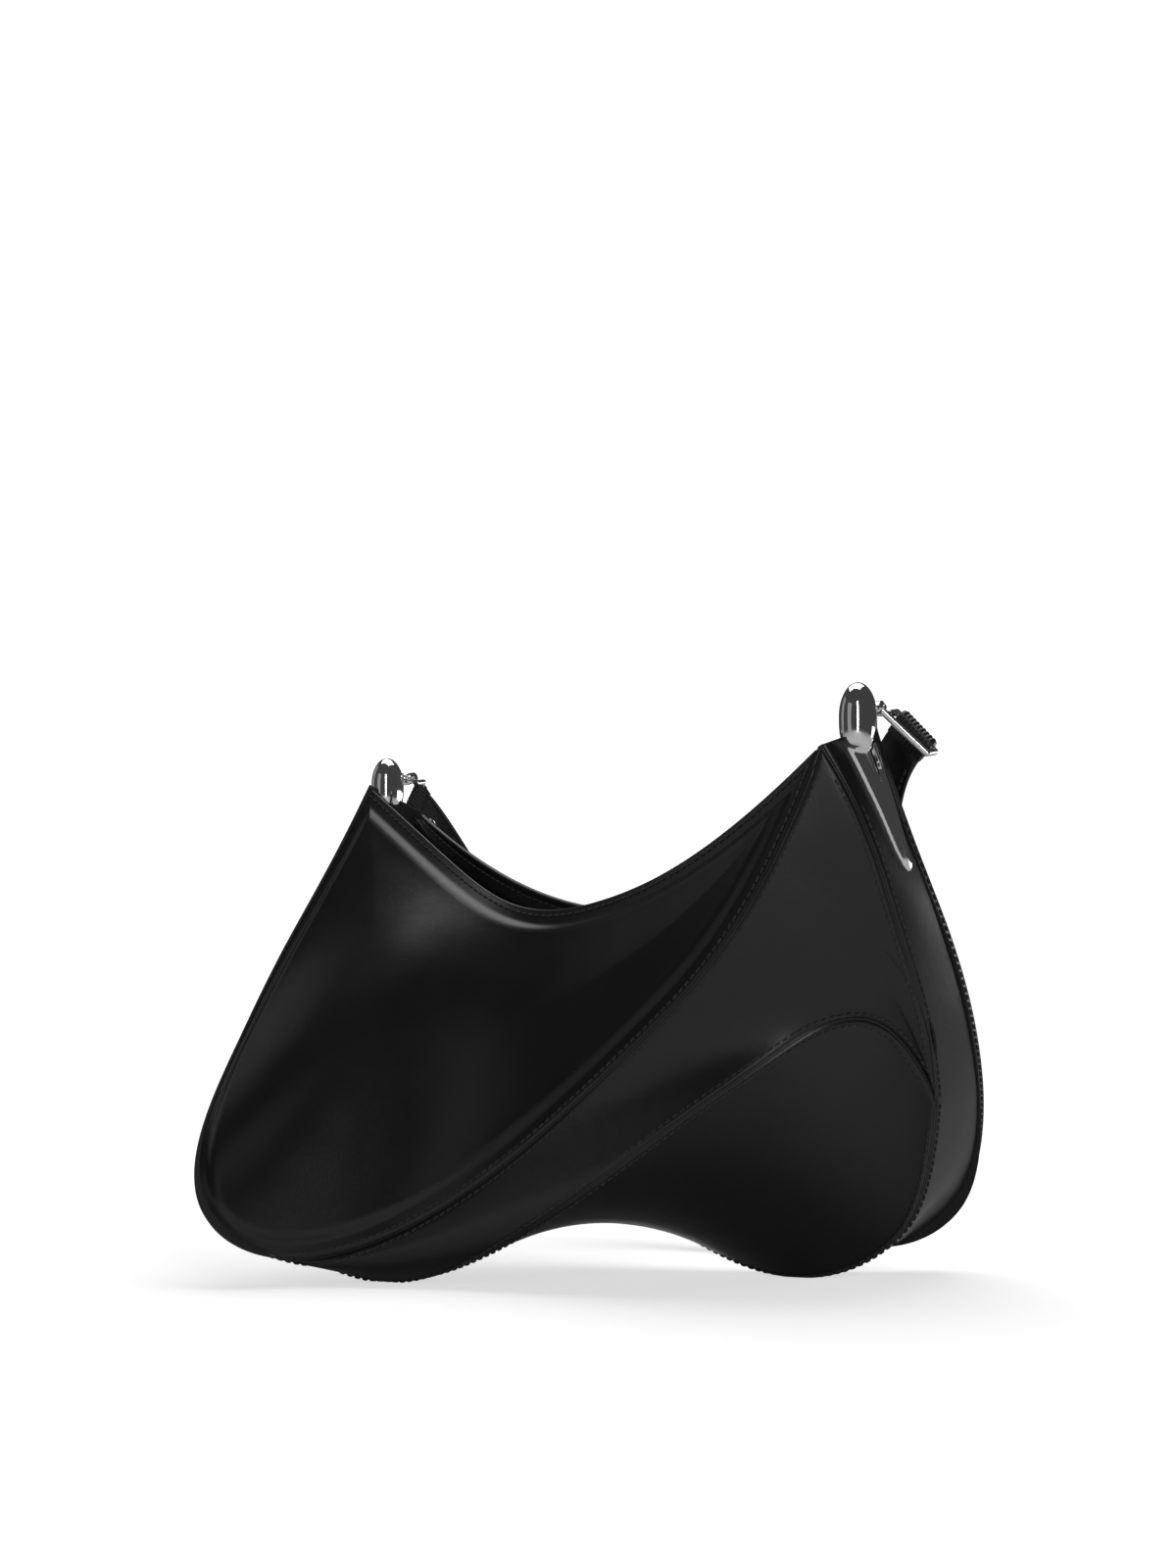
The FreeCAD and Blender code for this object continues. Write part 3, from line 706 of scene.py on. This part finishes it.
def welded(name, parts, voxel, smoothing, material):
    """One smooth closed body from overlapping closed meshes."""
    thing = merged(name, parts, material)
    remesh = thing.modifiers.new("weld", "REMESH")
    remesh.mode = "VOXEL"
    remesh.voxel_size = voxel
    remesh.use_smooth_shade = True
    ease = thing.modifiers.new("ease", "SMOOTH")
    ease.factor = 0.5
    ease.iterations = smoothing
    made = bpy.data.meshes.new_from_object(thing.evaluated_get(bpy.context.evaluated_depsgraph_get()))
    thing.modifiers.clear()
    thing.data = made
    made.name = name
    made.materials.clear()
    made.materials.append(material)
    made.polygons.foreach_set("use_smooth", [True] * len(made.polygons))
    return thing


def egg(centre, radii, low_power=2.0, count=36):
    """A closed egg; low_power above 2 makes its lower half squarer."""
    rings = []
    for i in range(1, count):
        angle = math.pi * i / count
        z = math.cos(angle)
        wide = math.sin(angle) if z > 0 else (1 - abs(z) ** low_power) ** (1 / low_power)
        spin = np.linspace(0, 2 * math.pi, 48, endpoint=False)
        rings.append(np.stack([centre[0] + radii[0] * wide * np.cos(spin),
                               centre[1] + radii[1] * wide * np.sin(spin),
                               np.full(48, centre[2] + radii[2] * z)], -1))
    return sweep("egg", rings, chrome)


def tongue(turn):
    """The cap's tongue, lying on the band of leather below the horn."""
    rows = gusset.w <= 0.5
    middle = gusset_outer.shape[1] // 2
    spine = gusset_outer[rows][:, middle]
    across = unit(gusset.p[rows][:, -1] - gusset.p[rows][:, 0])
    out = gusset.n[rows][:, middle]
    reach = np.concatenate([[0], np.cumsum(np.linalg.norm(np.diff(spine, axis=0), axis=1))]) / MM
    rings = []
    for s in np.concatenate([np.linspace(1, 49, 66), np.linspace(49.6, 58, 26)]):
        half = np.interp(s, [0, 12, 26, 44, 51, 54.5, 56.5, 57.6, 58],
                         [7.4, 7.4, 6.9, 5.6, 4.8, 3.8, 2.6, 1.3, 0.5])
        aside = np.interp(s, [0, 12, 44, 58], [-1.8, -1.8, -0.6, 0])
        tall = np.interp(s, [0, 30, 54, 58], [1.25, 1.1, 0.9, 0.35])
        at = lambda a: np.array([np.interp(s, reach, a[:, k]) for k in range(3)])
        centre, wide, up = at(spine), unit(at(across)), unit(at(out))
        u = np.linspace(-1, 1, 41)
        crown = 1.0 + 1.25 * (1 - np.abs(u) ** 2.2)
        ridge = 0.55 * np.exp(-(u / 0.16) ** 2)
        rim = 0.55 * np.exp(-((np.abs(u) - 0.84) / 0.10) ** 2)
        top = (crown + ridge + rim) * tall * MM
        centre = centre + wide * aside * MM
        face = centre + np.outer(u * half * MM, wide) + np.outer(top, up)
        sole = centre + np.outer(u[::-4] * half * MM, wide) - up * 0.9 * MM
        rings.append(np.concatenate([face, sole]) * turn)
    return sweep("tongue", rings, chrome)


def lug(sign):
    low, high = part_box(("right" if sign > 0 else "left") + "_pivot_pin")
    centre = np.array((low + high) / 2)
    spin = np.linspace(0, 2 * math.pi, 32, endpoint=False)
    rings = []
    for x, radius in ((-2.5, 2.4), (-2.1, 3.0), (2.1, 3.0), (2.5, 2.4)):
        rings.append(np.stack([np.full(32, centre[0] + x * MM),
                               centre[1] + radius * MM * np.cos(spin),
                               centre[2] + radius * MM * np.sin(spin)], -1))
    neck = []
    for y in (-9.0, 0.0):
        neck.append(np.stack([centre[0] + 2.3 * MM * np.cos(spin), np.full(32, centre[1] + y * MM),
                              centre[2] + 2.6 * MM * np.sin(spin)], -1))
    return [sweep("lug", rings, chrome), sweep("neck", neck, chrome)]


for side, sign in (("right", 1), ("left", -1)):
    turn = TURN if sign > 0 else SAME
    heart = np.array([127.6 * sign, 1.0 * sign, 224.6]) * FIT
    parts = [egg(heart, (6.8 * MM, 8.4 * MM, 13.0 * MM), 3.0), tongue(turn)] + lug(sign)
    cap = welded(f"{side}_cap", parts, 0.4 * MM, 16, chrome)
    finish_piece(cap, "bag", [f"{side}_horn_cap"])

# ---------------------------------------------------------------------- strap

def middle_of(node):
    low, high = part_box(node)
    return np.array((low + high) / 2)


BAR = middle_of("right_strap_fold")
BAR_ALONG = unit(np.array([0.66, 0.11, -0.74]))
STRAP_DOWN = unit(np.array([-0.75, 0.02, -0.66]))
LOOP_NORMAL = unit(np.array([0, 0.89, 0.45]))
MIRROR = np.array([-1.0, 1.0, 1.0])
start = BAR / FIT + STRAP_DOWN * 5
left_start = start * MIRROR
STRAP_POLES = [start, start + STRAP_DOWN * 14, (105, 56, 178), (92, 84, 118), (66, 99, 62),
               (34, 108, 24), (0, 111, 17), (-34, 108, 24), (-66, 99, 62), (-98, 80, 122),
               (-122, 44, 185), left_start + STRAP_DOWN * MIRROR * 8, left_start]
STRAP_HALF = 9 * MM
STRAP_THICK = 2.2 * MM


def strap_frames(w):
    """Centre, width direction and face direction of the strap at w = 0 to 1."""
    centre = spline(STRAP_POLES, w)
    tangent = unit(spline(STRAP_POLES, np.minimum(w + 1e-4, 1))
                   - spline(STRAP_POLES, np.maximum(w - 1e-4, 0)))
    side = np.where(w < 0.5, 1.0, -1.0)[:, None]
    flat = np.where(side > 0, BAR_ALONG, BAR_ALONG * MIRROR)
    turn = smooth(np.minimum(w, 1 - w)[:, None] / 0.34)
    wide = flat * (1 - turn) + LOOP_NORMAL * turn * side
    wide = unit(wide - tangent * np.sum(wide * tangent, -1, keepdims=True)) * side
    return centre, wide, unit(np.cross(tangent, wide)), tangent


def strap_outline():
    """Half of the strap's rounded outline: (share of half width, share of half thickness)."""
    points = []
    for u in np.linspace(-0.80, 0.80, 13):
        points.append((u, 1.0 + 0.10 * (1 - u * u)))
    for angle in np.linspace(80, -80, 7):
        a = math.radians(angle)
        points.append((0.86 + 0.14 * math.cos(a), 0.94 * math.sin(a)))
    return points


def strap_piece(name, low, high, lift, replaced, tip=None):
    w = np.linspace(low, high, 260)
    centre, wide, face, tangent = strap_frames(w)
    centre = centre + face * lift(w)[:, None]
    upper = strap_outline()
    lower = [(-u, -v) for u, v in upper]
    outline = np.array(upper + lower)
    share = np.ones(len(w)) if tip is None else tip(w)
    rings = [c + np.outer(outline[:, 0] * STRAP_HALF * s, a) + np.outer(outline[:, 1] * STRAP_THICK / 2, f)
             for c, a, f, s in zip(centre, wide, face, share)]
    piece = sweep(name, rings, strap_calf)
    finish_piece(piece, "strap", replaced)
    for label, way in (("left", -1), ("right", 1)):
        for layer, up in (("top", 1), ("under", -1)):
            line = centre + wide * (STRAP_HALF - 2.2 * MM) * way + face * up * STRAP_THICK / 2
            row = stitches(f"{name}_{label}_{layer}_stitches", line[6:-6], face[6:-6] * up, thread)
            finish_piece(row, "strap", ())
    return piece


LAYER = 2.7 * MM
BUCKLE_PLACE, TAIL_END = 0.66, 0.78
strap_piece("long_strap", 0.0, TAIL_END, np.zeros_like, ["strap_long_end"],
            lambda w: np.sqrt(np.clip((TAIL_END - w) / 0.02, 0.02, 1)))
strap_piece("short_strap", BUCKLE_PLACE + 0.025, 1.0,
            lambda w: LAYER * (1 - smooth((w - TAIL_END) / 0.1)), ["strap_short_end"])


def roll(side, sign):
    """The strap's end wrapped round the ring's bar, puckered into fine ribs."""
    way = SAME if sign > 0 else MIRROR
    along = BAR_ALONG * way
    down = STRAP_DOWN * way
    down = unit(down - along * down.dot(along))
    up = np.cross(along, down)
    rings = []
    for x in np.linspace(-9, 9, 73):
        rib = 0.16 * math.cos(2 * math.pi * x / 1.9)
        end = 1 - 0.10 * max(0, abs(x) - 8.2) / 0.8
        points = []
        for angle in np.linspace(40, 320, 33):
            a = math.radians(angle)
            r = (3.3 + rib) * end
            points.append((r * math.cos(a), r * math.sin(a)))
        points += [(6.4, -1.3), (7.2, -0.9), (7.2, 0.9), (6.4, 1.3)]
        rings.append([BAR * way + along * x * MM + down * p * MM + up * q * MM for p, q in points])
    thing = sweep(f"{side}_strap_roll", rings, strap_calf)
    return finish_piece(thing, f"{side}_ring", [f"{side}_strap_fold"])


roll("right", 1)
roll("left", -1)


def dome(place, up):
    centre, wide, face, tangent = [a[0] for a in strap_frames(np.array([place]))]
    rings = []
    for high, radius in ((0.0, 3.0), (0.35, 3.0), (0.75, 2.7), (1.0, 2.1), (1.15, 1.2), (1.2, 0.3)):
        spin = np.linspace(0, 2 * math.pi, 28, endpoint=False)
        base = centre + face * up * (STRAP_THICK / 2 + high * MM)
        circle = np.outer(np.cos(spin), wide) + np.outer(np.sin(spin) * up, tangent)
        rings.append(base + radius * MM * circle)
    return sweep("dome", rings, chrome)


rivets = merged("rivet_domes", [dome(w, up) for w in (0.035, 0.965) for up in (-1, 1)], chrome)
finish_piece(rivets, "strap", ["strap_rivets"])


def loop_band():
    """The keeper: a closed band of leather round both layers of the strap."""
    centre, wide, face, tangent = [a[0] for a in strap_frames(np.array([BUCKLE_PLACE + 0.07]))]
    middle = centre + face * LAYER / 2
    half_wide, half_tall = STRAP_HALF + 1.6 * MM, LAYER / 2 + STRAP_THICK / 2 + 1.3 * MM
    corner = 1.6 * MM
    path = []
    for cx, cy, first in ((1, 1, 0), (-1, 1, 90), (-1, -1, 180), (1, -1, 270)):
        for angle in np.linspace(first, first + 90, 7):
            a = math.radians(angle)
            path.append((cx * (half_wide - corner) + corner * math.cos(a),
                         cy * (half_tall - corner) + corner * math.sin(a),
                         math.cos(a), math.sin(a)))
    rings = []
    for x, y, nx, ny in path:
        here = middle + wide * x + face * y
        out = wide * nx + face * ny
        outline = [(-3.4, -0.6), (3.4, -0.6), (3.55, 0), (3.4, 0.6),
                   (1.5, 0.72), (-1.5, 0.72), (-3.4, 0.6), (-3.55, 0)]
        rings.append([here + tangent * p * MM + out * q * MM for p, q in outline])
    thing = sweep("keeper_band", rings, strap_calf, True)
    return finish_piece(thing, "strap", ["strap_keeper"])


loop_band()

# ------------------------------------------------------ floor, light, camera

FADE_START, FADE_END = 0.22, 0.60


def studio_floor():
    """A pale floor that glows a little to the camera and fades to white further out."""
    m = Nodes("studio_floor")
    m.colours(m.noise(3, 2), (0.86, 0.86, 0.86), (0.88, 0.88, 0.88))
    m.set(Roughness=0.9)
    glow = m.add("ShaderNodeEmission", Strength=0.62)
    white = m.add("ShaderNodeEmission", Strength=1.1)
    place = m.add("ShaderNodeVectorMath")
    place.operation = "LENGTH"
    m.link(m.places(), place.inputs[0])
    fade = m.add("ShaderNodeMapRange")
    fade.inputs["From Min"].default_value = FADE_START
    fade.inputs["From Max"].default_value = FADE_END
    m.link(place.outputs["Value"], fade.inputs["Value"])
    path = m.add("ShaderNodeLightPath")
    both = m.add("ShaderNodeAddShader")
    far = m.add("ShaderNodeMixShader")
    mix = m.add("ShaderNodeMixShader")
    output = m.tree.nodes["Material Output"]
    m.link(m.shader.outputs[0], both.inputs[0])
    m.link(glow.outputs[0], both.inputs[1])
    m.link(fade.outputs["Result"], far.inputs[0])
    m.link(both.outputs[0], far.inputs[1])
    m.link(white.outputs[0], far.inputs[2])
    m.link(path.outputs["Is Camera Ray"], mix.inputs[0])
    m.link(m.shader.outputs[0], mix.inputs[1])
    m.link(far.outputs[0], mix.inputs[2])
    m.link(mix.outputs[0], output.inputs["Surface"])
    return m.material


reach = 6.0
floor_low = float(cad_low.z)
floor = mesh_object("floor", [(-reach, -reach, floor_low), (reach, -reach, floor_low),
                              (reach, reach, floor_low), (-reach, reach, floor_low)],
                    [(0, 1, 2, 3)], studio_floor(), False)
floor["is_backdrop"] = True

world = bpy.data.worlds.new("studio")
bpy.context.scene.world = world
world.use_nodes = True
sky = world.node_tree
sky_light = sky.nodes["Background"]
sky_light.inputs["Color"].default_value = (1, 1, 1, 1)
rays = sky.nodes.new("ShaderNodeLightPath")
level = sky.nodes.new("ShaderNodeMapRange")
level.inputs["To Min"].default_value = 0.05
level.inputs["To Max"].default_value = 1.15
sky.links.new(rays.outputs["Is Camera Ray"], level.inputs["Value"])
sky.links.new(level.outputs["Result"], sky_light.inputs["Strength"])


def softbox(name, place, target, size, power):
    data = bpy.data.lights.new(name, "AREA")
    data.shape = "RECTANGLE"
    data.size, data.size_y = size
    data.energy = power
    light = bpy.data.objects.new(name, data)
    light.location = place
    light.rotation_euler = (Vector(target) - Vector(place)).to_track_quat("-Z", "Y").to_euler()
    bpy.context.scene.collection.objects.link(light)


softbox("top", (-0.1, 0.25, 1.5), (0, 0, 0.1), (1.5, 1.1), 11)
softbox("back", (0.5, 1.6, 0.15), (0, 0, 0.12), (1.7, 0.55), 7)
softbox("left", (-1.2, -0.4, 0.6), (0, 0, 0.12), (0.6, 1.1), 0.45)
softbox("near_right", (1.05, -0.75, 0.5), (0, 0, 0.12), (0.16, 1.0), 3.0)
softbox("near_left", (-0.1, -1.3, 0.5), (0, 0, 0.12), (0.7, 1.0), 0.5)

camera_data = bpy.data.cameras.new("photo_view")
camera_data.sensor_fit = "HORIZONTAL"
camera_data.sensor_width = 36
camera_data.lens = 48
camera_data.shift_x = -0.0058
camera_data.shift_y = 0.2167
camera = bpy.data.objects.new("photo_view", camera_data)
CAMERA_WAY = unit(np.array([-0.6334, 0.7738, 0.0]))
CAMERA_FAR = 0.672
CAMERA_HIGH = 0.103
camera.location = Vector(tuple(-CAMERA_WAY * CAMERA_FAR)) + Vector((0, 0, CAMERA_HIGH))
camera.rotation_euler = Vector(tuple(CAMERA_WAY)).to_track_quat("-Z", "Y").to_euler()
bpy.context.scene.collection.objects.link(camera)
bpy.context.scene.camera = camera
bpy.context.scene.view_settings.view_transform = "Standard"

low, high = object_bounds()
